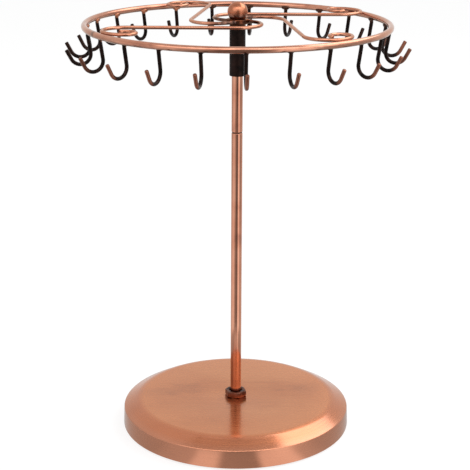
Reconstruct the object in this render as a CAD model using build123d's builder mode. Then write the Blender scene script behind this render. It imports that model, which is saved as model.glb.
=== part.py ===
from build123d import *
from math import asin, cos, degrees, radians, sin, sqrt, tan
import os

os.makedirs("parts", exist_ok=True)

# A rotating jewelry stand: a round weighted base, a thin post in two lengths, and a head that
# turns on the top of the post. The head is a wire ring with hooks all round, carried on four
# S-shaped wire arms and crowned by a ball. Millimetres, +Z up, the origin at the centre of the
# base on the surface it stands on, and the front of the stand towards -Y.

# Base cover, pressed from sheet
base_radius = 94.8
base_height = 23.0
skirt_top = 16.2
skirt_flare = 0.6
shoulder_width = 13.0
skirt_edge_radius = 1.2
shoulder_radius = 14.0
cover_sheet = 1.0
hem_width = 7.0

# Weight and pad inside the base
pad_thickness = 1.2
pad_inset = 2.5
weight_radius = 66.0
weight_thickness = 9.0
weight_edge = 1.5
boss_radius = 20.0
boss_floor = 10.0
nut_pocket_radius = 14.0

# Threaded foot that clamps the post, the cover and the weight together
stud_radius = 5.0
stud_proud = 1.0
spigot_length = 20.0
nut_across_flats = 16.0
nut_thickness = 5.0
nut_turn = -15.0
nut_chamfer_angle = 30.0
nut_face_share = 0.97
countersink_depth = 1.8
countersink_width = 0.8
washer_radius = 10.5
washer_thickness = 2.0

# Post: two tubes joined by a plug with a thin collar between them
post_radius = 4.5
post_wall = 1.0
joint_rise = 229.5
coupler_collar_radius = 4.1
coupler_collar = 0.9
coupler_grip = 18.0
pivot_head = 2.6
pivot_grip = 12.0

# Head: how high its ring sits above the flat of the base
ring_rise = 316.0
ring_radius = 120.0
ring_wire = 5.0
seam_azimuth = -63.0
seam_width = 2.4
seam_swell = 0.15

# Hub: sleeve, bushes, cap and ball
sleeve_radius = 6.35
sleeve_wall = 1.0
sleeve_length = 40.5
running_gap = 0.06
bush_length = 10.0
upper_bush_drop = 12.0
thrust_thickness = 1.5
thrust_gap = 0.1
cap_radius = 8.6
cap_spigot = 5.0
band_height = 3.4
ball_radius = 8.0
ball_rise = 10.2
finial_stud_radius = 2.5
finial_stud_grip = 8.5
finial_stud_drop = 4.5

# Scroll arms: each is one S of wire in a level plane just above the ring
arm_wire = 2.8
arm_rise = 3.0
arm_offset = 37.2
rim_scroll_radius = 18.0
middle_scroll_radius = 8.3
inner_scroll_radius = 7.0
inner_scroll_angle = 40.0
arm_turns = (0.0, 98.0, 180.0, 261.0)

# Hooks: a leaning shank, a round bottom and a tip that flares outwards
hook_count = 23
first_hook = 3.0
hook_wire = 3.0
hook_depth = 26.5
hook_bend = 8.0
shank_inset = 0.5
shank_lean = 9.2
tip_lean = 28.0
tip_depth = 15.0
tip_chamfer = 0.5
weld_foot_length = 8.0
weld_foot_depth = 3.4
weld_foot_drop = 1.8
weld_foot_waist = 0.9
weld_foot_climb = 0.4
weld_foot_inset = 1.2
weld_sink = 0.3

# Heights and radii that follow from the sizes above
hem_radius = base_radius + skirt_flare
ring_height = base_height + ring_rise
joint_height = base_height + joint_rise
post_bore = post_radius - post_wall
sleeve_bore = sleeve_radius - sleeve_wall
ring_tube = ring_wire / 2
arm_tube = arm_wire / 2
hook_tube = hook_wire / 2
boss_top = base_height - cover_sheet
boss_seat = boss_top - boss_floor
base_nut_bottom = boss_seat - washer_thickness - nut_thickness
stud_end = base_nut_bottom - stud_proud
foot_nut_top = base_height + nut_thickness
post_foot = foot_nut_top - countersink_depth
sleeve_bottom = ring_height - sleeve_length
thrust_top = ring_height - cap_spigot
thrust_bottom = thrust_top - thrust_thickness
pivot_tip = thrust_bottom - thrust_gap
post_top = pivot_tip - pivot_head


def save(piece, name):
    piece.part.label = name
    export_step(piece.part, f"parts/{name}.step")


# Base cover: a pressed disc with a crisp skirt and a soft shoulder, its lower edge turned in
# as a flat hem, and a hole in the middle for the threaded foot.
with BuildPart() as base_cover:
    with BuildSketch(Plane.XZ):
        with BuildLine():
            FilletPolyline(
                (base_radius + skirt_flare, pad_thickness),
                (base_radius, skirt_top),
                (base_radius - shoulder_width, base_height),
                (0, base_height),
                radius=[skirt_edge_radius, shoulder_radius],
            )
            Polyline(
                (0, base_height),
                (0, pad_thickness),
                (base_radius + skirt_flare, pad_thickness),
            )
        make_face()
    revolve(axis=Axis.Z)
    offset(amount=-cover_sheet, openings=base_cover.faces().sort_by(Axis.Z)[0])
    with BuildSketch(Plane.XY.offset(pad_thickness)):
        Circle(hem_radius - cover_sheet / 2)
        Circle(hem_radius - hem_width, mode=Mode.SUBTRACT)
    extrude(amount=cover_sheet)
    with BuildSketch(Plane.XY.offset(base_height)):
        Circle(stud_radius)
    extrude(amount=-2 * cover_sheet, mode=Mode.SUBTRACT)
save(base_cover, "base_cover")

# Base weight: a cast disc with a boss that reaches the underside of the cover, and a pocket
# below for the lower nut.
with BuildPart() as base_weight:
    with BuildSketch(Plane.XY.offset(pad_thickness)):
        Circle(weight_radius)
    extrude(amount=weight_thickness)
    rim_edges = base_weight.edges().filter_by(GeomType.CIRCLE).sort_by(Axis.Z)[-1]
    chamfer(rim_edges, length=weight_edge)
    with BuildSketch(Plane.XY.offset(pad_thickness)):
        Circle(boss_radius)
    extrude(amount=boss_top - pad_thickness)
    with BuildSketch(Plane.XY.offset(pad_thickness)):
        Circle(nut_pocket_radius)
    extrude(amount=boss_seat - pad_thickness, mode=Mode.SUBTRACT)
    with BuildSketch(Plane.XY.offset(boss_seat)):
        Circle(stud_radius)
    extrude(amount=boss_floor, mode=Mode.SUBTRACT)
save(base_weight, "base_weight")

# Pad: a thin soft disc glued under the hem and the weight.
with BuildPart() as base_pad:
    with BuildSketch():
        Circle(hem_radius - pad_inset)
    extrude(amount=pad_thickness)
save(base_pad, "base_pad")

# Washer between the weight and the lower nut.
with BuildPart() as base_washer:
    with BuildSketch(Plane.XY.offset(boss_seat)):
        Circle(washer_radius)
        Circle(stud_radius, mode=Mode.SUBTRACT)
    extrude(amount=-washer_thickness)
save(base_washer, "base_washer")

# Threaded foot: a stud through the base, with a spigot that is pressed into the lower post.
with BuildPart() as foot_stud:
    with BuildSketch(Plane.XY.offset(stud_end)):
        Circle(stud_radius)
    extrude(amount=post_foot - stud_end)
    with BuildSketch(Plane.XY.offset(post_foot)):
        Circle(post_bore)
    extrude(amount=spigot_length)
    spigot_end = foot_stud.edges().filter_by(GeomType.CIRCLE).sort_by(Axis.Z)[-1]
    chamfer(spigot_end, length=post_wall / 2)
save(foot_stud, "foot_stud")


# Thin hex nut with chamfered corners on both faces.
def hex_nut(bottom, countersunk):
    corner_radius = nut_across_flats / sqrt(3)
    flat_radius = nut_across_flats / 2 * nut_face_share
    corner_fall = (corner_radius - flat_radius) * sin(radians(nut_chamfer_angle))
    with BuildPart() as nut:
        with BuildSketch(Plane.XY.offset(bottom)):
            RegularPolygon(nut_across_flats / 2, 6, major_radius=False, rotation=nut_turn)
        extrude(amount=nut_thickness)
        with BuildSketch(Plane.XZ):
            with BuildLine():
                Polyline(
                    (0, bottom),
                    (flat_radius, bottom),
                    (corner_radius, bottom + corner_fall),
                    (corner_radius, bottom + nut_thickness - corner_fall),
                    (flat_radius, bottom + nut_thickness),
                    (0, bottom + nut_thickness),
                    close=True,
                )
            make_face()
        revolve(axis=Axis.Z, mode=Mode.INTERSECT)
        with BuildSketch(Plane.XY.offset(bottom)):
            Circle(stud_radius)
        extrude(amount=nut_thickness, mode=Mode.SUBTRACT)
        if countersunk:
            top = bottom + nut_thickness
            with BuildSketch(Plane.XZ):
                with BuildLine():
                    Polyline(
                        (0, top - countersink_depth),
                        (stud_radius, top - countersink_depth),
                        (stud_radius + countersink_width, top),
                        (0, top),
                        close=True,
                    )
                make_face()
            revolve(axis=Axis.Z, mode=Mode.SUBTRACT)
    return nut


foot_nut = hex_nut(base_height, countersunk=True)
save(foot_nut, "foot_nut")

base_nut = hex_nut(base_nut_bottom, countersunk=False)
save(base_nut, "base_nut")


# Post: one tube from the foot to the joint, and one from the joint up into the hub.
def post_tube(bottom, top):
    with BuildPart() as tube:
        with BuildSketch(Plane.XY.offset(bottom)):
            Circle(post_radius)
            Circle(post_bore, mode=Mode.SUBTRACT)
        extrude(amount=top - bottom)
    return tube


lower_post = post_tube(post_foot, joint_height - coupler_collar / 2)
save(lower_post, "lower_post")

upper_post = post_tube(joint_height + coupler_collar / 2, post_top)
save(upper_post, "upper_post")

# Coupler: a plug in the ends of both tubes, with a thin collar that shows as the joint line.
with BuildPart() as post_coupler:
    with BuildSketch(Plane.XY.offset(joint_height)):
        Circle(coupler_collar_radius)
    extrude(amount=coupler_collar / 2, both=True)
    with BuildSketch(Plane.XY.offset(joint_height)):
        Circle(post_bore)
    extrude(amount=coupler_grip, both=True)
save(post_coupler, "post_coupler")

# Pivot: a domed plug pressed into the top of the post, on which the head rests and turns.
dome_radius = (post_radius**2 + pivot_head**2) / (2 * pivot_head)
dome_angle = degrees(asin(post_radius / dome_radius))
with BuildPart() as post_pivot:
    with BuildSketch(Plane.XY.offset(post_top - pivot_grip)):
        Circle(post_bore)
    extrude(amount=pivot_grip)
    with BuildSketch(Plane.XZ):
        with BuildLine():
            CenterArc((0, pivot_tip - dome_radius), dome_radius, 90, -dome_angle)
            Polyline((post_radius, post_top), (0, post_top), (0, pivot_tip))
        make_face()
    revolve(axis=Axis.Z)
save(post_pivot, "post_pivot")

# Sleeve: the plain tube that slips over the post and carries everything that turns.
with BuildPart() as hub_sleeve:
    with BuildSketch(Plane.XY.offset(sleeve_bottom)):
        Circle(sleeve_radius)
        Circle(sleeve_bore, mode=Mode.SUBTRACT)
    extrude(amount=sleeve_length)
save(hub_sleeve, "hub_sleeve")


# Bushes: two plastic rings pressed into the sleeve, which run on the post.
def bush(bottom):
    with BuildPart() as ring_bush:
        with BuildSketch(Plane.XY.offset(bottom)):
            Circle(sleeve_bore)
            Circle(post_radius + running_gap, mode=Mode.SUBTRACT)
        extrude(amount=bush_length)
    return ring_bush


upper_bush = bush(ring_height - upper_bush_drop - bush_length)
save(upper_bush, "upper_bush")

lower_bush = bush(sleeve_bottom)
save(lower_bush, "lower_bush")

# Thrust disc: a plastic disc under the cap that takes the weight of the head on the pivot.
with BuildPart() as thrust_disc:
    with BuildSketch(Plane.XY.offset(thrust_bottom)):
        Circle(sleeve_bore)
    extrude(amount=thrust_thickness)
save(thrust_disc, "thrust_disc")

# Cap: a tapered cup on the sleeve. Its band takes the ends of the arms, its dish holds the
# ball, and its spigot closes the sleeve.
band_top = ring_height + arm_rise + band_height / 2
ball_height = ring_height + ball_rise
with BuildPart() as hub_cap:
    with BuildSketch(Plane.XZ):
        with BuildLine():
            Polyline(
                (0, ring_height - cap_spigot),
                (sleeve_bore, ring_height - cap_spigot),
                (sleeve_bore, ring_height),
                (sleeve_radius, ring_height),
                (cap_radius, band_top - band_height),
                (cap_radius, band_top),
                (0, band_top),
                close=True,
            )
        make_face()
    revolve(axis=Axis.Z)
    with Locations((0, 0, ball_height)):
        Sphere(ball_radius, mode=Mode.SUBTRACT)
    with BuildSketch(Plane.XY.offset(ring_height - cap_spigot)):
        Circle(finial_stud_radius)
    extrude(amount=ball_rise, mode=Mode.SUBTRACT)
save(hub_cap, "hub_cap")

# Finial: a ball on a threaded stud.
stud_bottom = ring_height - finial_stud_drop
stud_top = ball_height - ball_radius + finial_stud_grip
with BuildPart() as finial_stud:
    with BuildSketch(Plane.XY.offset(stud_bottom)):
        Circle(finial_stud_radius)
    extrude(amount=stud_top - stud_bottom)
save(finial_stud, "finial_stud")

with BuildPart() as finial_ball:
    with Locations((0, 0, ball_height)):
        Sphere(ball_radius)
    with BuildSketch(Plane.XY.offset(ring_height)):
        Circle(finial_stud_radius)
    extrude(amount=stud_top - ring_height, mode=Mode.SUBTRACT)
save(finial_ball, "finial_ball")

# Ring: one round wire bent to a circle, with a slight swelling where its ends are welded.
seam_plane = Plane(
    origin=(0, 0, ring_height),
    x_dir=(sin(radians(seam_azimuth)), -cos(radians(seam_azimuth)), 0),
    z_dir=(cos(radians(seam_azimuth)), sin(radians(seam_azimuth)), 0),
)
with BuildPart() as ring:
    with Locations((0, 0, ring_height)):
        Torus(ring_radius, ring_tube)
    with BuildSketch(seam_plane):
        with Locations((ring_radius, 0)):
            Circle(ring_tube + seam_swell)
    extrude(amount=seam_width / 2, both=True)
save(ring, "ring")


# Scroll arm: a half turn at the hub, a straight stretch, and a scroll at the rim that curls
# the other way. Both ends are cut to the shape of what they are welded to.
rim_reach = ring_tube + arm_tube - weld_sink
scroll_touch = ring_radius - sqrt(rim_reach**2 - arm_rise**2)
scroll_y = -arm_offset - rim_scroll_radius
scroll_x = -sqrt((scroll_touch - rim_scroll_radius) ** 2 - scroll_y**2)
middle_y = scroll_y - rim_scroll_radius + middle_scroll_radius
inner_y = middle_y + middle_scroll_radius - inner_scroll_radius
hub_start = 90 - degrees(2 * asin((cap_radius - arm_wire) / arm_offset))


def scroll_arm(turn):
    level = Plane(
        origin=(0, 0, ring_height + arm_rise),
        x_dir=(cos(radians(turn)), sin(radians(turn)), 0),
        z_dir=(0, 0, 1),
    )
    with BuildPart() as arm:
        with BuildLine(level) as path:
            CenterArc((0, -arm_offset / 2), arm_offset / 2, hub_start, -90 - hub_start)
            Line((0, -arm_offset), (scroll_x, -arm_offset))
            CenterArc((scroll_x, scroll_y), rim_scroll_radius, 90, 180)
            CenterArc((scroll_x, middle_y), middle_scroll_radius, 270, 180)
            CenterArc((scroll_x, inner_y), inner_scroll_radius, 90, inner_scroll_angle)
        with BuildSketch(Plane(origin=path.line @ 0, z_dir=path.line % 0)):
            Circle(arm_tube)
        sweep(path=path.line)
        with Locations((0, 0, band_top)):
            Cylinder(cap_radius, 2 * band_height, mode=Mode.SUBTRACT)
        with Locations((0, 0, ring_height)):
            Torus(ring_radius, ring_tube, mode=Mode.SUBTRACT)
    return arm


for number, turn in enumerate(arm_turns, start=1):
    save(scroll_arm(turn), f"scroll_arm_{number}")

# Hook: its local x runs outwards from the ring's wire and its local y upwards from the plane
# of the ring. Its top spreads along the inside of the ring as a weld foot, cut to the wire.
shank_top_y = -ring_tube / 2
shank_top_x = -shank_inset + shank_top_y * tan(radians(shank_lean))
bend_y = hook_bend - hook_depth
shank_foot_y = bend_y + hook_bend * sin(radians(shank_lean))
shank_foot_x = -shank_inset + shank_foot_y * tan(radians(shank_lean))
bend_x = shank_foot_x + hook_bend * cos(radians(shank_lean))
tip_start_x = bend_x + hook_bend * cos(radians(tip_lean))
tip_start_y = bend_y - hook_bend * sin(radians(tip_lean))
tip_end_x = tip_start_x + (-tip_depth - tip_start_y) * tan(radians(tip_lean))
foot_top_y = -ring_tube * weld_foot_climb
foot_low_y = -ring_tube - weld_foot_drop
foot_low_x = -shank_inset + foot_low_y * tan(radians(shank_lean))
foot_top_x = -shank_inset - weld_foot_inset


def hook(azimuth):
    outwards = (sin(radians(azimuth)), -cos(radians(azimuth)), 0)
    upright = Plane(
        origin=(ring_radius * outwards[0], ring_radius * outwards[1], ring_height),
        x_dir=outwards,
        z_dir=(outwards[1], -outwards[0], 0),
    )
    bend_sweep = 180 + shank_lean - tip_lean
    with BuildPart() as wire_hook:
        with BuildLine(upright) as path:
            Line((shank_top_x, shank_top_y), (shank_foot_x, shank_foot_y))
            CenterArc((bend_x, bend_y), hook_bend, 180 - shank_lean, bend_sweep)
            Line((tip_start_x, tip_start_y), (tip_end_x, -tip_depth))
        with BuildSketch(Plane(origin=path.line @ 0, z_dir=path.line % 0)):
            Circle(hook_tube)
        sweep(path=path.line)
        tip_end = upright.from_local_coords((tip_end_x, -tip_depth, 0))
        tip_edge = wire_hook.edges().filter_by(GeomType.CIRCLE).sort_by_distance(tip_end)[0]
        chamfer(tip_edge, length=tip_chamfer)
        weld_low = upright.from_local_coords((foot_low_x, foot_low_y, 0))
        weld_top = upright.from_local_coords((foot_top_x, foot_top_y, 0))
        with BuildSketch(Plane(origin=weld_low, x_dir=outwards, z_dir=(0, 0, 1))):
            Circle(hook_tube * weld_foot_waist)
        with BuildSketch(Plane(origin=weld_top, x_dir=outwards, z_dir=(0, 0, 1))):
            Ellipse(weld_foot_depth / 2, weld_foot_length / 2)
        loft()
        with Locations((0, 0, ring_height)):
            Torus(ring_radius, ring_tube, mode=Mode.SUBTRACT)
    return wire_hook


for number in range(hook_count):
    save(hook(first_hook + number * 360 / hook_count), f"hook_{number + 1:02d}")
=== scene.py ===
from math import asin, cos, degrees, exp, pi, radians, sin, sqrt, tan

import bmesh
import bpy
from mathutils import Matrix, Vector, noise


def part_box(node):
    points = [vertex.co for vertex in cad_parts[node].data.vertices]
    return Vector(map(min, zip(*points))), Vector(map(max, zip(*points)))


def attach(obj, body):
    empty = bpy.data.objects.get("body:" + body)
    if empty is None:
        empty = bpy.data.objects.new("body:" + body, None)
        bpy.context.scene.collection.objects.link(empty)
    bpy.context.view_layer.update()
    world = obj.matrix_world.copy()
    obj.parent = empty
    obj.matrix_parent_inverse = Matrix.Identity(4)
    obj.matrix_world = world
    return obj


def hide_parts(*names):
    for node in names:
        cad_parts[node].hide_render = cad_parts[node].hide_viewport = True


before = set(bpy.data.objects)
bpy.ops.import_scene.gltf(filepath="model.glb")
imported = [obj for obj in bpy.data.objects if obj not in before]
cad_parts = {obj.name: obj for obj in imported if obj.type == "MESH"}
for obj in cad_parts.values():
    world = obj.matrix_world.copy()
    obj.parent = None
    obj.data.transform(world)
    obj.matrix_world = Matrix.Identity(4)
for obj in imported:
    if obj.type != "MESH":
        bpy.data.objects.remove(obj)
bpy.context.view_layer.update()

# Base cover: a disc of steel sheet pressed with a soft shoulder and a straight skirt, brushed
# one way and plated in antique copper, with a painted sheen towards the rim and on the skirt
# and painted shade on the shoulder. Its lower edge is turned in as a flat hem.
SHEET_THICKNESS = 0.001
SKIRT_TOP = 0.0162
SKIRT_FLARE = 0.0006
SKIRT_EDGE = 0.0012
SKIRT_INNER_EDGE = 0.0004
SHOULDER_WIDTH = 0.013
SHOULDER_ROUND = 0.014
HEM_WIDTH = 0.007
HEM_EDGE = 0.0003
HEM_FOLD = 0.0005
HOLE_RADIUS = 0.005
HOLE_EDGE = 0.0002
COVER_STEPS = 192
BASE_TONES = ((0.31, 0.088, 0.030), (0.58, 0.190, 0.062), (0.69, 0.262, 0.098))
# Painted sheen on the flat, growing towards the rim:
RIM_SHEEN_PAINT = (0.74, 0.262, 0.092)
RIM_SHEEN_FROM = 0.040
FLAT_END = 0.078
# Painted shade on the shoulder:
SHOULDER_SHADE_PAINT = (0.46, 0.125, 0.070)
SHOULDER_SHADE_FULL = 0.083
# Painted sheen on the skirt:
SKIRT_SHEEN_PAINT = (0.56, 0.270, 0.175)
SKIRT_SHEEN_FROM = SKIRT_TOP + 0.003
SKIRT_SHEEN_FULL = SKIRT_TOP - 0.001
BRUSH_DRAW = 0.035
BRUSH_TURN = 0.004


def placed(name, data):
    """An object in the scene that holds a mesh, a lamp or a camera."""
    holder = bpy.data.objects.new(name, data)
    bpy.context.scene.collection.objects.link(holder)
    return holder


def mesh_object(name, bm, material):
    """Turns a bmesh into an object of one material."""
    mesh = bpy.data.meshes.new(name)
    bm.to_mesh(mesh)
    bm.free()
    mesh.materials.append(material)
    return placed(name, mesh)


def finish_mesh(name, bm, material, body, slot, *replaced):
    """Closes a mesh, points its faces outwards and makes it a smooth piece on a body."""
    bmesh.ops.remove_doubles(bm, verts=bm.verts, dist=1e-7)
    bmesh.ops.recalc_face_normals(bm, faces=bm.faces)
    piece = mesh_object(name, bm, material)
    piece.data.shade_smooth()
    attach(piece, body)
    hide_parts(*replaced)


def rounded(corners, radii, steps):
    """Points of a profile in (radius, height), with each inner corner rounded by an arc."""
    points = [Vector(corners[0])]
    for before, corner, after, radius in zip(corners, corners[1:], corners[2:], radii):
        corner = Vector(corner)
        back = (Vector(before) - corner).normalized()
        ahead = (Vector(after) - corner).normalized()
        half = back.angle(ahead) / 2
        centre = corner + (back + ahead).normalized() * radius / sin(half)
        first = corner + back * radius / tan(half) - centre
        last = corner + ahead * radius / tan(half) - centre
        turn = first.angle_signed(last)
        for step in range(steps + 1):
            arm = first.copy()
            arm.rotate(Matrix.Rotation(-turn * step / steps, 2))
            points.append(centre + arm)
    points.append(Vector(corners[-1]))
    return points


def spun(profile, steps):
    """A bmesh turned about the vertical axis from a profile of (radius, height) points."""
    bm = bmesh.new()
    verts = [bm.verts.new((point[0], 0, point[1])) for point in profile]
    edges = [bm.edges.new(pair) for pair in zip(verts, verts[1:])]
    bmesh.ops.spin(
        bm, geom=verts + edges, cent=(0, 0, 0), axis=(0, 0, 1),
        angle=2 * pi, steps=steps, use_merge=True,
    )
    return bm


def shader(name):
    """A new material, with its node tree and its main shader."""
    material = bpy.data.materials.new(name)
    material.use_nodes = True
    return material, material.node_tree, material.node_tree.nodes["Principled BSDF"]


def feed(tree, node, values):
    """Sets inputs of a shader node: a socket is linked, and a plain colour gets its alpha."""
    for key, value in values.items():
        socket = node.inputs[key]
        if isinstance(value, bpy.types.NodeSocket):
            tree.links.new(value, socket)
        else:
            socket.default_value = (*value, 1) if socket.type == "RGBA" else value


def shader_node(tree, kind, values=None, **settings):
    """A new shader node with its settings and inputs."""
    node = tree.nodes.new("ShaderNode" + kind)
    for setting, value in settings.items():
        setattr(node, setting, value)
    feed(tree, node, values or {})
    return node


def grain(tree, scale, stretch=(1, 1, 1), detail=4.0, along=None):
    """Noise on the piece's own coordinates, drawn out along an axis or along given grooves."""
    if along is None:
        place = shader_node(tree, "TexCoord").outputs["Object"]
        mapping = shader_node(tree, "Mapping", {"Vector": place, "Scale": stretch})
        along = mapping.outputs["Vector"]
    values = {"Vector": along, "Scale": scale, "Detail": detail, "Roughness": 0.55}
    return shader_node(tree, "TexNoise", values).outputs["Fac"]


def ramp(tree, source, *stops):
    """A colour ramp over a value, from stops of (position, colour)."""
    node = shader_node(tree, "ValToRGB", {"Fac": source})
    while len(node.color_ramp.elements) < len(stops):
        node.color_ramp.elements.new(0.5)
    for element, (position, colour) in zip(node.color_ramp.elements, stops):
        element.position = position
        element.color = (*colour, 1)
    return node.outputs["Color"]


def span(tree, source, low, high, out_low, out_high):
    """Takes a value's range to another range, clamped at its ends."""
    values = {"Value": source, "From Min": low, "From Max": high}
    values.update({"To Min": out_low, "To Max": out_high})
    return shader_node(tree, "MapRange", values).outputs["Result"]


def blend_colours(tree, factor, first, second, mode="MIX"):
    """Mixes two colours, each a socket or a plain colour, by a factor."""
    values = {0: factor, 6: first, 7: second}
    return shader_node(tree, "Mix", values, data_type="RGBA", blend_type=mode).outputs[2]


def relief(tree, main, height, strength, distance):
    """Bumps a surface by a height."""
    values = {"Height": height, "Strength": strength, "Distance": distance}
    feed(tree, main, {"Normal": shader_node(tree, "Bump", values).outputs["Normal"]})


def arithmetic(tree, operation, first, second):
    """One sum on two values, each a socket or a number."""
    return shader_node(tree, "Math", {0: first, 1: second}, operation=operation).outputs[0]


def product(tree, first, *others):
    """Values multiplied together, each a socket or a number."""
    for other in others:
        first = arithmetic(tree, "MULTIPLY", first, other)
    return first


def joined(tree, *parts):
    """A vector put together from three values, each a socket or a number."""
    return shader_node(tree, "CombineXYZ", dict(enumerate(parts))).outputs["Vector"]


def axes(tree, kind="Object"):
    """The X, Y and Z of a point of the surface, or with Normal of the way it faces."""
    vector = shader_node(tree, "TexCoord").outputs[kind]
    return shader_node(tree, "SeparateXYZ", {"Vector": vector}).outputs


def surface_height(tree):
    """How high a point of the surface is."""
    return axes(tree)["Z"]


def axis_distance(tree):
    """How far a point of the surface is from the upright axis."""
    place = shader_node(tree, "TexCoord").outputs["Object"]
    flat = shader_node(tree, "VectorMath", {0: place, 1: (1, 1, 0)}, operation="MULTIPLY")
    length = shader_node(tree, "VectorMath", {0: flat.outputs["Vector"]}, operation="LENGTH")
    return length.outputs["Value"]


def pressed_grooves(tree):
    """Lies of the brush marks: straight across the flat, and round the shoulder and skirt."""
    across, ahead, height = axes(tree)
    reach = axis_distance(tree)
    drawn_across = product(tree, across, BRUSH_DRAW)
    drawn_ahead = product(tree, ahead, BRUSH_DRAW)
    straight = joined(tree, drawn_across, ahead, height)
    down_the_skirt = arithmetic(tree, "SUBTRACT", reach, height)
    round_about = joined(tree, drawn_across, drawn_ahead, down_the_skirt)
    turned = span(tree, reach, FLAT_END, FLAT_END + BRUSH_TURN, 0.0, 1.0)
    values = {0: turned, 4: straight, 5: round_about}
    return shader_node(tree, "Mix", values, data_type="VECTOR").outputs[1]


CLOUDS_STRETCH = (0.6, 1, 1)
LINES_SCALE = 420
HAIRS_SCALE = 1500
HAIRS_DEPTH = 0.00003
TONE_STOPS = (0.27, 0.42, 0.66)
STREAK_BROWN = (0.66, 0.58, 0.53)
WHITE = (1, 1, 1)
COPPER_GLINT = (0.96, 0.72, 0.56)
LACQUER_ROUGHNESS = 0.16


def plated_copper(
    name, tones, roughness, clouds, brush=(1, 1, 1), grooves=None, streak=0.3, marks=0.10,
    lacquer=1.0, spread=None, changes=(),
):
    """Lacquered antique copper plate: brushed one way, brown where the patina was left in it.

    A change of colour has a measure of the surface, where on it the change starts and is
    full, its share there and its colour.
    """
    material, tree, main = shader(name)
    along = grooves(tree) if grooves else None
    lines = grain(tree, LINES_SCALE, brush, detail=3, along=along)
    hairs = grain(tree, HAIRS_SCALE, brush, detail=2, along=along)
    patina = grain(tree, clouds, CLOUDS_STRETCH, detail=5)
    tone = ramp(tree, patina, *zip(TONE_STOPS, tones))
    streaks = ramp(tree, lines, (0.34, STREAK_BROWN), (0.52, WHITE))
    colour = blend_colours(tree, streak, tone, streaks, "MULTIPLY")
    for measure, start, full, share, other in changes:
        amount = span(tree, measure(tree), start, full, 0.0, share)
        colour = blend_colours(tree, amount, colour, other)
    feed(tree, main, {
        "Base Color": colour,
        "Metallic": 1.0,
        "Roughness": span(tree, lines, 0.3, 0.7, roughness + 0.05, roughness - 0.04),
        "Specular Tint": COPPER_GLINT,
        "Coat Weight": lacquer,
        "Coat Roughness": LACQUER_ROUGHNESS,
    })
    if spread:
        feed(tree, main, {"Anisotropic": 0.7, "Tangent": joined(tree, *spread)})
    relief(tree, main, hairs, marks, HAIRS_DEPTH)
    return material


cover_low, cover_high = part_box("base_cover")
cover_radius = cover_high[0]
cover_floor, cover_top = cover_low[2], cover_high[2]
skirt_radius = cover_radius - SKIRT_FLARE
cover_profile = rounded(
    [
        (cover_radius - HEM_WIDTH, cover_floor + SHEET_THICKNESS),
        (cover_radius - HEM_WIDTH, cover_floor),
        (cover_radius, cover_floor),
        (skirt_radius, SKIRT_TOP),
        (skirt_radius - SHOULDER_WIDTH, cover_top),
        (HOLE_RADIUS, cover_top),
        (HOLE_RADIUS, cover_top - SHEET_THICKNESS),
        (skirt_radius - SHOULDER_WIDTH, cover_top - SHEET_THICKNESS),
        (skirt_radius - SHEET_THICKNESS, SKIRT_TOP - SHEET_THICKNESS / 2),
        (cover_radius - SHEET_THICKNESS, cover_floor + SHEET_THICKNESS),
        (cover_radius - HEM_WIDTH, cover_floor + SHEET_THICKNESS),
    ],
    [
        HEM_EDGE, HEM_FOLD, SKIRT_EDGE, SHOULDER_ROUND, HOLE_EDGE,
        HOLE_EDGE, SHOULDER_ROUND, SKIRT_INNER_EDGE, HEM_EDGE,
    ],
    steps=10,
)
base_copper = plated_copper(
    "base_copper", BASE_TONES, roughness=0.26, clouds=17, grooves=pressed_grooves, streak=0.16,
    marks=0.05, spread=(0, 0.05, 1),
    changes=(
        # Painted sheen towards the rim.
        (axis_distance, RIM_SHEEN_FROM, FLAT_END, 0.6, RIM_SHEEN_PAINT),
        # Painted shade on the shoulder.
        (axis_distance, FLAT_END, SHOULDER_SHADE_FULL, 0.45, SHOULDER_SHADE_PAINT),
        # Painted sheen on the skirt.
        (surface_height, SKIRT_SHEEN_FROM, SKIRT_SHEEN_FULL, 0.45, SKIRT_SHEEN_PAINT),
    ),
)
finish_mesh(
    "base_cover_shell", spun(cover_profile, COVER_STEPS), base_copper,
    "stand", "copper_plate", "base_cover",
)

# Inside the base: a cast weight held by a washer and a nut on the threaded foot, and a foam
# pad glued underneath. Only the edge of the pad shows, as a dark line under the skirt.
CAST_BLACK = (0.03, 0.03, 0.03)
CAST_GREY = (0.055, 0.055, 0.058)
ZINC_DULL = (0.40, 0.41, 0.43)
ZINC_PALE = (0.62, 0.63, 0.64)
FOAM_BLACK = (0.012, 0.012, 0.013)
FOAM_GREY = (0.035, 0.035, 0.037)
PAD_EDGE = 0.0003


def dress(node, material):
    """Gives a node of the frame one material."""
    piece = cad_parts[node]
    if not piece.material_slots:
        piece.data.materials.append(material)
    for slot in piece.material_slots:
        slot.material = material


def mottled(name, scale, dark, pale, metallic=0.0, roughness=0.5, stops=(0.3, 0.7)):
    """A plain finish, toned unevenly between two colours."""
    material, tree, main = shader(name)
    tone = ramp(tree, grain(tree, scale), (stops[0], dark), (stops[1], pale))
    feed(tree, main, {"Base Color": tone, "Metallic": metallic, "Roughness": roughness})
    return material, tree, main


cast_iron, tree, main = mottled("cast_iron", 90, CAST_BLACK, CAST_GREY, 0.6, 0.7)
relief(tree, main, grain(tree, 900), strength=0.5, distance=0.0003)
dress("base_weight", cast_iron)

zinc_steel, tree, main = mottled(
    "zinc_steel", 260, ZINC_DULL, ZINC_PALE, metallic=1.0, stops=(0.35, 0.65),
)
feed(tree, main, {"Roughness": span(tree, grain(tree, 500), 0.3, 0.7, 0.28, 0.42)})
for node in ("base_washer", "base_nut", "foot_stud", "post_pivot", "finial_stud"):
    dress(node, zinc_steel)

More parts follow.
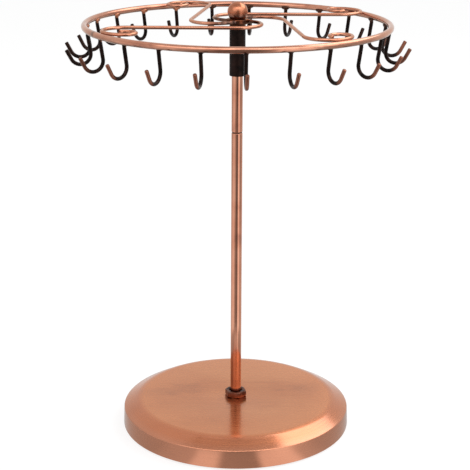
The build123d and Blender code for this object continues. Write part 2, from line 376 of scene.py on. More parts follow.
foam, tree, main = mottled("pad_foam", 1800, FOAM_BLACK, FOAM_GREY, roughness=0.9)
relief(tree, main, grain(tree, 2400), strength=0.6, distance=0.0002)
pad_low, pad_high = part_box("base_pad")
pad_profile = rounded(
    [(0, pad_high[2]), (pad_high[0], pad_high[2]), (pad_high[0], pad_low[2]), (0, pad_low[2])],
    [PAD_EDGE, PAD_EDGE],
    steps=4,
)
finish_mesh(
    "base_pad_foam", spun(pad_profile, COVER_STEPS), foam, "stand", "foam_pad", "base_pad",
)

# Foot nut: a thin hexagon steel nut with both faces chamfered and a dark bronze finish. The
# finish is thin and brown in places, and copper shows along the edges, as wear from handling
# and as a painted highlight on the chamfers.
NUT_FLATS = 0.016
NUT_FACE = 0.97
NUT_TURN = -15
NUT_CHAMFER = 30
NUT_SHARP = 18
NUT_EDGE = 0.00022
NUT_BORE = 0.005
NUT_COUNTERSINK = 0.0008
NUT_COUNTERSINK_DEPTH = 0.0018
NUT_STEPS = 144
NUT_BROWN = (0.33, 0.120, 0.074)
BRONZE_BLACK = (0.010, 0.008, 0.0075)
BRONZE_BROWN = (0.032, 0.017, 0.014)
BRONZE_WORN = (0.42, 0.17, 0.095)


def dark_bronze(name, edge_wear_and_glint, thin=BRONZE_BROWN, roughness=0.37):
    """Near-black bronze finish over steel, brown where thin, and copper on edges as wear and
    painted highlight.
    """
    material, tree, main = shader(name)
    tone = ramp(tree, grain(tree, 140, detail=5), (0.35, BRONZE_BLACK), (0.70, thin))
    pointed = shader_node(tree, "NewGeometry").outputs["Pointiness"]
    # Copper on the edges: wear and a painted highlight.
    edge = span(tree, pointed, 0.53, 0.60, 0.0, edge_wear_and_glint)
    feed(tree, main, {
        "Base Color": blend_colours(tree, edge, tone, BRONZE_WORN),
        "Metallic": 1.0,
        "Roughness": span(tree, grain(tree, 300), 0.3, 0.7, roughness - 0.07, roughness + 0.07),
    })
    relief(tree, main, grain(tree, 700), strength=0.15, distance=0.0001)
    return material


def picked(parts, kind):
    """The points or the edges among some parts of a mesh."""
    return [part for part in parts if isinstance(part, kind)]


nut_low, nut_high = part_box("foot_nut")
nut_corner = NUT_FLATS / sqrt(3)
nut_flat_end = NUT_FLATS / 2 * NUT_FACE
nut_fall = (nut_corner - nut_flat_end) * sin(radians(NUT_CHAMFER))
nut = spun(
    [
        (NUT_BORE, nut_low[2]),
        (nut_flat_end, nut_low[2]),
        (nut_corner, nut_low[2] + nut_fall),
        (nut_corner, nut_high[2] - nut_fall),
        (nut_flat_end, nut_high[2]),
        (NUT_BORE + NUT_COUNTERSINK, nut_high[2]),
        (NUT_BORE, nut_high[2] - NUT_COUNTERSINK_DEPTH),
        (NUT_BORE, nut_low[2]),
    ],
    NUT_STEPS,
)
for side in range(6):
    outwards = Matrix.Rotation(radians(NUT_TURN + 60 * side + 30), 3, "Z") @ Vector((1, 0, 0))
    cut = bmesh.ops.bisect_plane(
        nut, geom=nut.verts[:] + nut.edges[:] + nut.faces[:], dist=1e-7,
        plane_co=outwards * NUT_FLATS / 2, plane_no=outwards, clear_outer=True,
    )
    bmesh.ops.edgeloop_fill(nut, edges=picked(cut["geom_cut"], bmesh.types.BMEdge))
bmesh.ops.remove_doubles(nut, verts=nut.verts, dist=1e-6)
sharp = [
    edge for edge in nut.edges
    if len(edge.link_faces) == 2 and edge.calc_face_angle() > radians(NUT_SHARP)
]
bmesh.ops.bevel(
    nut, geom=sharp, offset=NUT_EDGE, segments=2, profile=0.5, affect="EDGES", material=-1,
)
nut_bronze = dark_bronze("nut_bronze", edge_wear_and_glint=0.9, thin=NUT_BROWN)
finish_mesh("foot_nut_hexagon", nut, nut_bronze, "stand", "dark_bronze", "foot_nut")

# Post: two lengths of brushed copper-plated tube, with painted shade near the foot. A plug
# inside joins them, and shows as a thin dark collar between the two.
POST_BORE = 0.0035
POST_EDGE = 0.0004
POST_STEPS = 96
# Painted shade near the foot of the post:
POST_SHADE_PAINT = (0.27, 0.165, 0.130)
POST_SHADE_FROM = 0.072
POST_SHADE_FULL = 0.050
COLLAR_BLACK = (0.02, 0.012, 0.009)
COLLAR_BROWN = (0.10, 0.045, 0.028)
DRAWN_TONES = ((0.29, 0.100, 0.058), (0.56, 0.217, 0.123), (0.66, 0.302, 0.188))
post_copper = plated_copper(
    "post_copper", DRAWN_TONES, roughness=0.13, clouds=40, brush=(1, 1, 0.02),
    # Painted shade towards the foot.
    changes=((surface_height, POST_SHADE_FROM, POST_SHADE_FULL, 0.5, POST_SHADE_PAINT),),
)
for node in ("lower_post", "upper_post"):
    low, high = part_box(node)
    profile = rounded(
        [
            (POST_BORE, low[2] + POST_EDGE), (POST_BORE, low[2]), (high[0], low[2]),
            (high[0], high[2]), (POST_BORE, high[2]), (POST_BORE, low[2] + POST_EDGE),
        ],
        [POST_EDGE / 2, POST_EDGE, POST_EDGE, POST_EDGE / 2],
        steps=4,
    )
    tube = spun(profile, POST_STEPS)
    finish_mesh(node + "_tube", tube, post_copper, "stand", "copper_plate", node)
collar_brown = mottled("collar_brown", 600, COLLAR_BLACK, COLLAR_BROWN, 0.8, 0.42)[0]
dress("post_coupler", collar_brown)

# Hub sleeve: a plain tube with a satin black-brown finish, open below where the post enters
# it. It turns on two plastic bushes, and a plastic disc carries it on the tip of the post.
SLEEVE_WALL = 0.001
SLEEVE_EDGE = 0.0006
PLASTIC_DULL = (0.62, 0.60, 0.54)
PLASTIC_PALE = (0.72, 0.71, 0.66)
sleeve_low, sleeve_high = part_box("hub_sleeve")
sleeve_foot, sleeve_top = sleeve_low[2], sleeve_high[2]
sleeve_radius = sleeve_high[0]
sleeve_bore = sleeve_radius - SLEEVE_WALL
profile = rounded(
    [
        (sleeve_bore, sleeve_top), (sleeve_bore, sleeve_foot),
        (sleeve_radius, sleeve_foot), (sleeve_radius, sleeve_top), (sleeve_bore, sleeve_top),
    ],
    [SLEEVE_EDGE / 3, SLEEVE_EDGE, SLEEVE_EDGE / 3],
    steps=6,
)
sleeve_bronze = dark_bronze("sleeve_bronze", edge_wear_and_glint=0.5, roughness=0.50)
finish_mesh(
    "hub_sleeve_tube", spun(profile, POST_STEPS), sleeve_bronze,
    "head", "dark_bronze", "hub_sleeve",
)
bush_plastic = mottled("bush_plastic", 400, PLASTIC_DULL, PLASTIC_PALE)[0]
for node in ("lower_bush", "upper_bush", "thrust_disc"):
    dress(node, bush_plastic)

# Hub cap: a turned copper-plated cup brazed on the sleeve. The arms are brazed to its band,
# which left soot and scale on it, and the ball sits in its dish. Round the middle of the head
# the colour is darkened in patches, as soot and as painted shade, and it carries painted shade
# where it faces down.
BAND_HEIGHT = 0.0034
LIP_EDGE = 0.0005
CUP_SEAT_EDGE = 0.0001
CUP_FOOT_EDGE = 0.0002
DISH_ROUND = 0.002
DISH_SLOPE = ((0.72, 0.0016), (0.43, 0.0023))
TURNED_TONES = ((0.20, 0.048, 0.018), (0.42, 0.106, 0.036), (0.55, 0.165, 0.062))
# The colour of painted shade, and of the dark band at the ring's weld.
COPPER_SHADE_AND_SCALE = (0.10, 0.038, 0.022)
# Soot mixed with painted shade round the middle of the head:
COPPER_SOOT_AND_SHADE = (0.070, 0.028, 0.017)
SOOT_AND_SHADE_REACH = 0.029
SOOT_AND_SHADE_FULL = 0.022


def facing_up(tree):
    """How far a point of the surface faces up, from minus one to one."""
    return axes(tree, "Normal")["Z"]


def soot_and_shade(tree):
    """How much soot and painted shade a point carries: patches round the middle of the head."""
    near = span(tree, axis_distance(tree), SOOT_AND_SHADE_REACH, SOOT_AND_SHADE_FULL, 0.0, 1.0)
    return product(tree, near, span(tree, grain(tree, 260), 0.36, 0.54, 0.55, 1.0))


def painted_shade_below(share):
    """A change to painted shade where a piece faces down."""
    return facing_up, 0.05, -0.75, share, COPPER_SHADE_AND_SCALE


cap_low, cap_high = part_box("hub_cap")
band_radius, cap_top = cap_high[0], cap_high[2]
ball_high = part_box("finial_ball")[1]
ball_radius = ball_high[0]
ball_height = ball_high[2] - ball_radius
dish_radius = sqrt(ball_radius**2 - (ball_height - cap_top) ** 2)
profile = rounded(
    [
        (sleeve_bore, cap_low[2]),
        (sleeve_bore, sleeve_top),
        (sleeve_radius, sleeve_top),
        (band_radius, cap_top - BAND_HEIGHT),
        (band_radius, cap_top),
        (dish_radius, cap_top),
        *((dish_radius * share, cap_top - depth) for share, depth in DISH_SLOPE),
    ],
    [CUP_SEAT_EDGE, CUP_FOOT_EDGE, LIP_EDGE, LIP_EDGE, LIP_EDGE / 2, DISH_ROUND],
    steps=5,
)
cap_copper = plated_copper(
    "cap_copper", TURNED_TONES, roughness=0.36, clouds=200, brush=(0.4, 0.4, 0.4), lacquer=0.1,
    # Painted shade where the cup faces down, and soot with painted shade round the middle.
    changes=(painted_shade_below(0.9), (soot_and_shade, 0.0, 1.0, 0.97, COPPER_SOOT_AND_SHADE)),
)
finish_mesh(
    "hub_cap_cup", spun(profile, POST_STEPS), cap_copper, "head", "copper_plate", "hub_cap",
)

# Ball: a turned copper-plated ball that crowns the hub, with painted shade below its middle. A
# threaded stud in the cup holds it.
BALL_FOOT = 0.0028
BALL_STEPS = 40
BALL_SIDES = 80
BALL_SHADE_FROM = -0.0006
BALL_SHADE_FULL = -0.0036
BALL_TONES = ((0.20, 0.056, 0.026), (0.40, 0.120, 0.052), (0.50, 0.175, 0.085))
foot_angle = pi - asin(BALL_FOOT / ball_radius)
profile = []
for step in range(BALL_STEPS + 1):
    angle = foot_angle * (1 - step / BALL_STEPS)
    profile.append((ball_radius * sin(angle), ball_height + ball_radius * cos(angle)))
# Painted shade on the lower half of the ball.
shade_on_lower_half = (
    surface_height, ball_height + BALL_SHADE_FROM, ball_height + BALL_SHADE_FULL,
    0.92, COPPER_SHADE_AND_SCALE,
)
ball_copper = plated_copper(
    "ball_copper", BALL_TONES, roughness=0.26, clouds=90, brush=(0.3, 0.3, 0.3), streak=0.25,
    lacquer=0.6, changes=(shade_on_lower_half, painted_shade_below(0.95)),
)
finish_mesh(
    "finial_ball_turned", spun(profile, BALL_SIDES), ball_copper,
    "head", "copper_plate", "finial_ball",
)

# Ring: one copper-plated wire bent to a circle. Its ends are butt welded at the left of the
# front, which leaves a slight swelling and a dark band.
RING_WIRE = 0.0025
RING_STEPS = 720
RING_SIDES = 24
SEAM_AZIMUTH = -63
SEAM_WIDTH = 0.0016
SEAM_SWELL = 0.00014
SEAM_LUMPS = 900
SEAM_DARK_FROM = 0.0042
SEAM_DARK_FULL = 0.0028
ring_height = sleeve_top
ring_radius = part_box("ring")[1][0] - RING_WIRE
ring_level = Vector((0, 0, ring_height))
ring_bm = bmesh.new()
section = bmesh.ops.create_circle(
    ring_bm, radius=RING_WIRE, segments=RING_SIDES,
    matrix=Matrix.Translation((ring_radius, 0, ring_height)) @ Matrix.Rotation(pi / 2, 4, "X"),
)["verts"]
bmesh.ops.spin(
    ring_bm, geom=section + ring_bm.edges[:], cent=(0, 0, 0), axis=(0, 0, 1),
    angle=2 * pi, steps=RING_STEPS, use_merge=True,
)
seam = Vector((sin(radians(SEAM_AZIMUTH)), -cos(radians(SEAM_AZIMUTH)), 0))
for vert in ring_bm.verts:
    flat = Vector((vert.co.x, vert.co.y, 0)).normalized()
    away = (flat - seam).length * ring_radius
    if away < 3 * SEAM_WIDTH:
        outwards = (vert.co - flat * ring_radius - ring_level).normalized()
        lump = 0.7 + 0.5 * noise.noise(vert.co * SEAM_LUMPS)
        vert.co += outwards * SEAM_SWELL * lump * exp(-((away / SEAM_WIDTH) ** 2))


def seam_distance(tree):
    """How far a point of the surface is from the middle of the butt weld."""
    place = shader_node(tree, "TexCoord").outputs["Object"]
    values = {0: place, 1: seam * ring_radius + ring_level}
    return shader_node(tree, "VectorMath", values, operation="DISTANCE").outputs["Value"]


ring_copper = plated_copper(
    "ring_copper", DRAWN_TONES, roughness=0.14, clouds=60, brush=(0.4, 0.4, 0.4), streak=0.35,
    changes=(
        # Painted shade where the wire faces down, then the weld's dark band.
        painted_shade_below(0.9),
        (seam_distance, SEAM_DARK_FROM, SEAM_DARK_FULL, 0.75, COPPER_SHADE_AND_SCALE),
    ),
)
finish_mesh("ring_wire", ring_bm, ring_copper, "head", "copper_plate", "ring")

# Scroll arms: four S-shaped copper-plated wires in a level plane just above the ring's. Each
# leaves the hub in a half turn and ends in a scroll that is brazed to the inside of the ring.
ARM_WIRE = 0.0014
ARM_RISE = 0.003
ARM_OFFSET = 0.0372
ARM_TURNS = (0, 98, 180, 261)
ARM_CHAMFER = 0.3
RIM_SCROLL = 0.018
MIDDLE_SCROLL = 0.0083
INNER_SCROLL = 0.007
INNER_ANGLE = 40
BRAZE_SINK = 0.0003
RIM_BRAZE = (0.0018, 0.0018, 0.0011)
RIM_BRAZE_INSET = 0.75
RIM_BRAZE_RISE = 0.6
BAND_BRAZE = (0.0019, 0.0021, 0.0016)
BEND_STEP = 6
WIRE_SIDES = 16
wire_copper = plated_copper(
    "wire_copper", DRAWN_TONES, roughness=0.17, clouds=60, brush=(0.4, 0.4, 0.4), streak=0.35,
    # Painted shade where the wire faces down, and soot with painted shade near the hub.
    lacquer=0.5, changes=(painted_shade_below(0.9), (soot_and_shade, 0.0, 1.0, 1.0, COPPER_SOOT_AND_SHADE)),
)


def pushed(bm, edges, step):
    """Draws the open end of a wire out by a step, and gives its new points and edges."""
    made = bmesh.ops.extrude_edge_only(bm, edges=edges)["geom"]
    verts = picked(made, bmesh.types.BMVert)
    bmesh.ops.translate(bm, verts=verts, vec=step)
    return verts, [edge for edge in picked(made, bmesh.types.BMEdge) if len(edge.link_faces) == 1]


def bent_wire(radius, place, axis, moves):
    """A round wire bent in one plane, with the edges of its first and last ends.

    Each move is a bend about a centre by an angle, or a straight step where the angle is 0.
    """
    bm = bmesh.new()
    start = bmesh.ops.create_circle(bm, radius=radius, segments=WIRE_SIDES, matrix=place)["verts"]
    first = bm.edges[:]
    end = start + first
    for target, angle in moves:
        if angle:
            end = bmesh.ops.spin(
                bm, geom=end, cent=target, axis=axis, angle=radians(angle),
                steps=max(2, round(abs(angle) / BEND_STEP)), use_merge=False,
            )["geom_last"]
        else:
            verts, edges = pushed(bm, picked(end, bmesh.types.BMEdge), target)
            end = verts + edges
    return bm, first, picked(end, bmesh.types.BMEdge)


def close_wire(bm, first, last, free, chamfer):
    """Closes both ends of a wire and chamfers the free one."""
    for rim in (first, last):
        bmesh.ops.edgeloop_fill(bm, edges=rim)
    bmesh.ops.bevel(
        bm, geom=free, offset=chamfer, segments=2, profile=0.5, affect="EDGES", material=-1,
    )


def braze(bm, centre, size, seed):
    """A small uneven fillet of braze at a joint, drawn out by its three half sizes."""
    made = bmesh.ops.create_icosphere(bm, subdivisions=3, radius=1.0)["verts"]
    for vert in made:
        swell = 1 + 0.16 * noise.noise(vert.co * 2.3 + Vector((seed, 0, 0)))
        vert.co = Vector(centre) + Vector(a * b for a, b in zip(vert.co, size)) * swell


rim_reach = RING_WIRE + ARM_WIRE - BRAZE_SINK
touch_radius = ring_radius - sqrt(rim_reach**2 - ARM_RISE**2)
scroll_y = -ARM_OFFSET - RIM_SCROLL
scroll_x = -sqrt((touch_radius - RIM_SCROLL) ** 2 - scroll_y**2)
middle_y = scroll_y - RIM_SCROLL + MIDDLE_SCROLL
inner_y = middle_y + MIDDLE_SCROLL - INNER_SCROLL
arm_height = ring_height + ARM_RISE
leave_angle = degrees(2 * asin((band_radius - 2 * ARM_WIRE) / ARM_OFFSET))
curl = Vector((0, -ARM_OFFSET / 2, arm_height))
half_offset = Vector((0, ARM_OFFSET / 2, 0))
leave_turn = Matrix.Rotation(radians(-leave_angle), 4, "Z")
arm_start = (
    Matrix.Translation(curl) @ leave_turn @ Matrix.Translation(half_offset)
    @ Matrix.Rotation(pi / 2, 4, "Y")
)
arm_moves = [
    (curl, -(180 - leave_angle)),
    ((scroll_x, 0, 0), 0),
    ((scroll_x, scroll_y, arm_height), 180),
    ((scroll_x, middle_y, arm_height), 180),
    ((scroll_x, inner_y, arm_height), INNER_ANGLE),
]
touch = Vector((scroll_x, scroll_y, 0)).normalized()
touch_place = touch * (ring_radius - RING_WIRE * RIM_BRAZE_INSET)
touch_place.z = ring_height + RING_WIRE * RIM_BRAZE_RISE
leave_place = (leave_turn @ half_offset - half_offset).normalized() * band_radius
leave_place.z = arm_height
for number, turn in enumerate(ARM_TURNS, start=1):
    arm, first, last = bent_wire(ARM_WIRE, arm_start, (0, 0, 1), arm_moves)
    close_wire(arm, first, last, free=last, chamfer=ARM_WIRE * ARM_CHAMFER)
    braze(arm, touch_place, RIM_BRAZE, seed=number)
    braze(arm, leave_place, BAND_BRAZE, seed=number + len(ARM_TURNS))
    bmesh.ops.rotate(
        arm, verts=arm.verts, cent=(0, 0, 0), matrix=Matrix.Rotation(radians(turn), 3, "Z"),
    )
    node = f"scroll_arm_{number}"
    finish_mesh(node + "_wire", arm, wire_copper, "head", "copper_plate", node)

# Hooks: twenty-three J-shaped wires welded under the ring, finished almost black. The finish
# is worn to copper on the tips, most of all at the front, and on the weld feet at the left.
HOOK_COUNT = 23
HOOK_FIRST = 3.0
HOOK_WIRE = 0.0015
HOOK_DEPTH = 0.0265
HOOK_BEND = 0.008
SHANK_INSET = 0.0005
SHANK_LEAN = 9.2
TIP_LEAN = 28.0
TIP_DEPTH = 0.015
TIP_CHAMFER = 0.0005
FOOT_DROP = 0.0018
FOOT_INSET = 0.0012
FOOT_CLIMB = 0.4
FOOT_HALF_LENGTH = 0.004
FOOT_HALF_DEPTH = 0.0017
FOOT_RINGS = 7
FOOT_LUMP_PLACE = (-0.0021, 0, -0.0018)
FOOT_LUMP_SIZE = (0.0013, 0.0036, 0.0016)
FOOT_ROUGH = 0.00025
FOOT_ROUGH_SCALE = 700
FOOT_ROUGH_END = 0.7
TIP_WORN = (0.27, 0.105, 0.066)
TIP_WORN_FROM = 0.0075
TIP_WORN_FULL = 0.0115
FRONT_SKEW = 0.55
FRONT_FROM = -0.02
FRONT_FULL = 0.03
BARE_REACH_FROM = -0.0009
BARE_REACH_FULL = -0.0018
BARE_HEIGHT_FROM = -0.0046
BARE_HEIGHT_FULL = -0.0036
LEFT_FROM = -0.025
LEFT_FULL = -0.05

hook_bronze, tree, main = shader("hook_bronze")
across, ahead, height = axes(tree)
reach = axis_distance(tree)
towards_front = arithmetic(tree, "SUBTRACT", product(tree, across, FRONT_SKEW), ahead)
worn_tips = product(
    tree,
    span(tree, reach, ring_radius + TIP_WORN_FROM, ring_radius + TIP_WORN_FULL, 0.0, 0.9),
    span(tree, towards_front, FRONT_FROM, FRONT_FULL, 0.05, 1.0),
    span(tree, grain(tree, 24, detail=3), 0.34, 0.46, 0.35, 1.0),
)
bare_feet = product(
    tree,
    span(tree, height, ring_height + BARE_HEIGHT_FROM, ring_height + BARE_HEIGHT_FULL, 0.0, 0.9),
    span(tree, reach, ring_radius + BARE_REACH_FROM, ring_radius + BARE_REACH_FULL, 0.0, 1.0),
    span(tree, across, LEFT_FROM, LEFT_FULL, 0.12, 1.0),
)
tone = ramp(tree, grain(tree, 160, detail=5), (0.35, BRONZE_BLACK), (0.72, BRONZE_BROWN))
tone = blend_colours(tree, worn_tips, tone, TIP_WORN)
feed(tree, main, {
    "Base Color": blend_colours(tree, bare_feet, tone, BRONZE_WORN),
    "Metallic": 1.0,
    "Roughness": span(tree, grain(tree, 300), 0.3, 0.7, 0.26, 0.40),
})
relief(tree, main, grain(tree, 800), strength=0.2, distance=0.0001)


def foot_width(half_size, step):
    """How many times wider than the wire a weld foot is at one of its rings."""
    return 1 + (half_size / HOOK_WIRE - 1) * (step / FOOT_RINGS) ** 2


lean = radians(SHANK_LEAN)
tip_lean = radians(TIP_LEAN)
bend_z = HOOK_BEND - HOOK_DEPTH
shank_z = bend_z + HOOK_BEND * sin(lean)
shank_x = -SHANK_INSET + shank_z * tan(lean)
bend_x = shank_x + HOOK_BEND * cos(lean)
tip_start = Vector((bend_x + HOOK_BEND * cos(tip_lean), 0, bend_z - HOOK_BEND * sin(tip_lean)))
tip_end = Vector((tip_start.x + (-TIP_DEPTH - tip_start.z) * tan(tip_lean), 0, -TIP_DEPTH))
flare_z = -RING_WIRE - FOOT_DROP
flare_start = Vector((-SHANK_INSET + flare_z * tan(lean), 0, flare_z))
flare_end = Vector((-SHANK_INSET - FOOT_INSET, 0, -RING_WIRE * FOOT_CLIMB))
hook_start = Matrix.Translation(tip_end) @ Matrix.Rotation(tip_lean, 4, "Y")
hook_moves = [
    (tip_start - tip_end, 0),
    ((bend_x, 0, bend_z), 180 + SHANK_LEAN - TIP_LEAN),
    (flare_start - Vector((shank_x, 0, shank_z)), 0),
]
for number in range(HOOK_COUNT):
    hook, first, last = bent_wire(HOOK_WIRE, hook_start, (0, 1, 0), hook_moves)
    for step in range(1, FOOT_RINGS + 1):
        verts, last = pushed(hook, last, (flare_end - flare_start) / FOOT_RINGS)
        deep, wide = (
            foot_width(half_size, step) / foot_width(half_size, step - 1)
            for half_size in (FOOT_HALF_DEPTH, FOOT_HALF_LENGTH)
        )
        centre = flare_start.lerp(flare_end, step / FOOT_RINGS)
        bmesh.ops.scale(hook, verts=verts, vec=(deep, wide, 1), space=Matrix.Translation(-centre))
    close_wire(hook, first, last, free=first, chamfer=TIP_CHAMFER)
    braze(hook, FOOT_LUMP_PLACE, FOOT_LUMP_SIZE, seed=number * 1.7)
    for vert in hook.verts:
        if flare_z < vert.co.z < -RING_WIRE * FOOT_ROUGH_END:
            lump = noise.noise(vert.co * FOOT_ROUGH_SCALE + Vector((number * 7.3, 0, 0)))
            outwards = Vector((vert.co.x - flare_end.x, vert.co.y, 0))
            vert.co += outwards.normalized() * FOOT_ROUGH * lump
    azimuth = radians(HOOK_FIRST + number * 360 / HOOK_COUNT)
    bmesh.ops.translate(hook, verts=hook.verts, vec=(ring_radius, 0, ring_height))
    bmesh.ops.rotate(
        hook, verts=hook.verts, cent=(0, 0, 0), matrix=Matrix.Rotation(azimuth - pi / 2, 3, "Z"),
    )
    node = f"hook_{number + 1:02d}"
    finish_mesh(node + "_wire", hook, hook_bronze, "head", "dark_bronze", node)

# Studio: a pale floor in a white room with soft lamps, and with strips and a card that only
# the metal mirrors. The camera has the height, distance and tilt of the picture.
FLOOR_SIZE = 6.0
FLOOR_GAP = 0.0001
FLOOR_WHITE = (0.93, 0.93, 0.93)
FLOOR_GLOW = 1.12
FLOOR_SHARE = 0.72
BLACK = (0, 0, 0)
ROOM_LIGHT = 0.62
ROOM_PEAK = 3.0
STRIP_STEPS = 96
FOOT_FLOOR = ((0.0958, 0.0004), (0.17, 0.001))
FOOT_LEVELS = (
    (-180, 0.82), (-110, 0.58), (-50, 0.56), (-38, 0.68), (-26, 0.76), (-21, 1.20), (-12, 1.20),
    (-6, 0.54), (11, 0.50), (16, 1.20), (33, 1.30), (40, 0.78), (57, 0.60), (100, 0.55),
    (130, 0.82), (180, 0.82),
)
NEAR_FLOOR = ((0.17, 0.001), (0.85, 0.004))
NEAR_LEVELS = (
    (-180, 0.82), (-105, 0.80), (-92, 1.05), (-48, 1.10), (-38, 0.60), (-22, 0.45), (-6, 0.28),
    (14, 0.28), (24, 0.55), (31, 1.50), (56, 1.40), (66, 0.75), (100, 0.70), (130, 0.82),
    (180, 0.82),
)
FAR_FLOOR = ((0.85, 0.004), (2.3, 0.01), (2.3, 0.5))
FAR_LEVELS = (
    (-180, 0.82), (-105, 0.60), (-92, 0.95), (-48, 1.05), (-38, 0.80), (-22, 0.60), (-6, 0.20),
    (12, 0.18), (22, 0.40), (31, 1.60), (54, 1.45), (64, 0.50), (100, 0.55), (130, 0.82),
    (180, 0.82),
)
LOW_WALL = ((2.3, 0.5), (2.3, 1.15))
LOW_WALL_LEVELS = (
    (-180, 0.82), (-110, 0.70), (-60, 0.78), (-42, 0.88), (-26, 0.90), (-16, 0.55), (-6, 0.32),
    (16, 0.32), (27, 0.60), (32, 0.95), (48, 0.95), (55, 0.85), (100, 0.80), (130, 0.82),
    (180, 0.82),
)
HIGH_WALL = ((2.3, 1.15), (2.3, 2.4))
HIGH_WALL_LEVELS = (
    (-180, 0.82), (-110, 0.80), (-60, 0.82), (-42, 0.90), (-26, 0.90), (-12, 0.85), (0, 0.80),
    (14, 0.85), (27, 0.90), (32, 1.00), (48, 1.00), (55, 0.95), (100, 0.85), (130, 0.82),
    (180, 0.82),
)
LIGHT_BAND = ((2.3, 2.4), (1.7, 3.2))
LIGHT_BAND_LEVELS = (
    (-180, 0.82), (-110, 0.85), (-60, 1.10), (-42, 1.60), (-26, 2.30), (-12, 2.80), (0, 3.00),
    (14, 2.80), (27, 2.20), (32, 3.00), (48, 3.00), (55, 1.60), (100, 0.90), (130, 0.82),
    (180, 0.82),
)
AIM_HEIGHT = 0.18
CAMERA_DISTANCE = 1.0776
CAMERA_RISE = 0.1612
CAMERA_TILT = 17.24
CAMERA_ROLL = 0.30
FOCAL_PIXELS = 1370
PICTURE_PIXELS = 470
CENTRE_SHIFT = 1.5
SENSOR = 36.0


def seen_by_eye_or_gloss(tree):
    """One for rays from the camera and from mirrors and glass, nought for the rest."""
    path = shader_node(tree, "LightPath")
    seen = path.outputs["Is Camera Ray"]
    for ray in ("Is Glossy Ray", "Is Transmission Ray"):
        seen = arithmetic(tree, "MAXIMUM", seen, path.outputs[ray])
    return seen


def mixed(tree, share, first, second):
    """Two shaders mixed by the second one's share."""
    values = {0: share, 1: first.outputs[0], 2: second.outputs[0]}
    return shader_node(tree, "MixShader", values)


floor_paint, tree, main = shader("floor_paint")
feed(tree, main, {"Base Color": FLOOR_WHITE, "Roughness": 0.9, "Specular IOR Level": 0.1})
glow = shader_node(tree, "Emission", {"Color": WHITE, "Strength": FLOOR_GLOW})
lit_floor = mixed(tree, product(tree, seen_by_eye_or_gloss(tree), FLOOR_SHARE), main, glow)
from_below = shader_node(tree, "NewGeometry").outputs["Backfacing"]
one_way = mixed(tree, from_below, lit_floor, shader_node(tree, "BsdfTransparent"))
feed(tree, tree.nodes["Material Output"], {"Surface": one_way.outputs[0]})
floor_bm = bmesh.new()
bmesh.ops.create_grid(floor_bm, x_segments=1, y_segments=1, size=FLOOR_SIZE / 2)
floor = mesh_object("floor", floor_bm, floor_paint)
floor.location.z = -FLOOR_GAP

world = bpy.data.worlds.new("white_room")
bpy.context.scene.world = world
world.use_nodes = True
tree = world.node_tree
room = tree.nodes["Background"]
feed(tree, room, {"Color": WHITE, "Strength": ROOM_LIGHT})
backdrop = shader_node(tree, "Background", {"Color": WHITE, "Strength": 1.0})
lit_room = mixed(tree, seen_by_eye_or_gloss(tree), room, backdrop)
feed(tree, tree.nodes["World Output"], {"Surface": lit_room.outputs[0]})


def aimed(holder, azimuth, elevation, distance):
    """Puts a lamp or a card round the stand, facing the middle of it."""
    turn, climb = radians(azimuth), radians(elevation)
    place = Vector((sin(turn) * cos(climb), -cos(turn) * cos(climb), sin(climb))) * distance
    holder.location = place + Vector((0, 0, AIM_HEIGHT))
    holder.rotation_euler = (-place).to_track_quat("-Z", "Y").to_euler()


def soft_lamp(name, azimuth, elevation, distance, size, power):
    """A broad soft lamp aimed at the middle of the stand."""
    lamp = bpy.data.lights.new(name, "AREA")
    lamp.shape = "RECTANGLE"
    lamp.size, lamp.size_y = size
    lamp.energy = power
    aimed(placed(name, lamp), azimuth, elevation, distance)


def glowing(name, strength):
    """A paint that gives white light of its own and mirrors none."""
    paint, tree, main = shader(name)
    feed(tree, main, {
        "Base Color": BLACK,
        "Specular IOR Level": 0.0,
        "Emission Color": WHITE,
        "Emission Strength": strength,
    })
    return paint, tree, main


def only_mirrored(name, bm, paint):
    """A wall or card that only the metal mirrors, like the light and dark sides of a room."""
    card = mesh_object(name, bm, paint)
    for ray in ("camera", "diffuse", "transmission", "shadow", "volume_scatter"):
        setattr(card, "visible_" + ray, False)
    return card


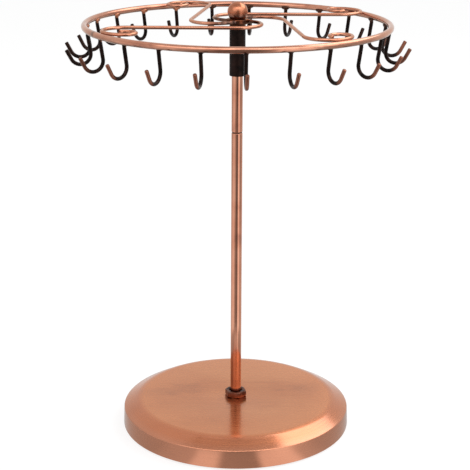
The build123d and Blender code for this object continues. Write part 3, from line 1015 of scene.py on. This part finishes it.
def room_strip(name, profile, levels):
    """A strip of the room all round the stand, lighter and darker by its direction."""
    paint, tree, main = glowing(name, ROOM_PEAK)
    place = axes(tree)
    direction = arithmetic(tree, "ARCTAN2", place["X"], product(tree, place["Y"], -1.0))
    stops = [((angle + 180) / 360, (level / ROOM_PEAK,) * 3) for angle, level in levels]
    shade = ramp(tree, span(tree, direction, -pi, pi, 0.0, 1.0), *stops)
    shade.node.color_ramp.interpolation = "EASE"
    feed(tree, main, {"Emission Color": shade})
    only_mirrored(name, spun(profile, STRIP_STEPS), paint)


def mirrored_card(name, azimuth, elevation, distance, size, level):
    """A flat white card aimed at the middle of the stand."""
    bm = bmesh.new()
    bmesh.ops.create_grid(bm, x_segments=1, y_segments=1, size=0.5)
    bmesh.ops.scale(bm, verts=bm.verts, vec=(*size, 1))
    card = only_mirrored(name, bm, glowing(name, level)[0])
    aimed(card, azimuth, elevation, distance)


room_strip("foot_floor", FOOT_FLOOR, FOOT_LEVELS)
room_strip("near_floor", NEAR_FLOOR, NEAR_LEVELS)
room_strip("far_floor", FAR_FLOOR, FAR_LEVELS)
room_strip("low_wall", LOW_WALL, LOW_WALL_LEVELS)
room_strip("high_wall", HIGH_WALL, HIGH_WALL_LEVELS)
room_strip("light_band", LIGHT_BAND, LIGHT_BAND_LEVELS)
soft_lamp("lamp_left", azimuth=-32, elevation=38, distance=1.7, size=(1.6, 1.1), power=4.5)
soft_lamp("lamp_right", azimuth=48, elevation=38, distance=1.7, size=(1.8, 1.2), power=6.5)
soft_lamp("lamp_side", azimuth=118, elevation=48, distance=1.8, size=(1.5, 1.1), power=11)
mirrored_card("card_above", azimuth=0, elevation=84, distance=2.0, size=(2.6, 1.5), level=0.65)

camera_data = bpy.data.cameras.new("camera")
camera_data.sensor_width = SENSOR
camera_data.lens = SENSOR * FOCAL_PIXELS / PICTURE_PIXELS
camera_data.shift_x = -CENTRE_SHIFT / PICTURE_PIXELS
camera = placed("camera", camera_data)
camera.location = (0, -CAMERA_DISTANCE, ring_height + CAMERA_RISE)
tilt = Matrix.Rotation(radians(90 - CAMERA_TILT), 4, "X")
tilt = tilt @ Matrix.Rotation(radians(CAMERA_ROLL), 4, "Z")
camera.rotation_euler = tilt.to_euler()
bpy.context.scene.camera = camera
bpy.context.scene.view_settings.view_transform = "Standard"
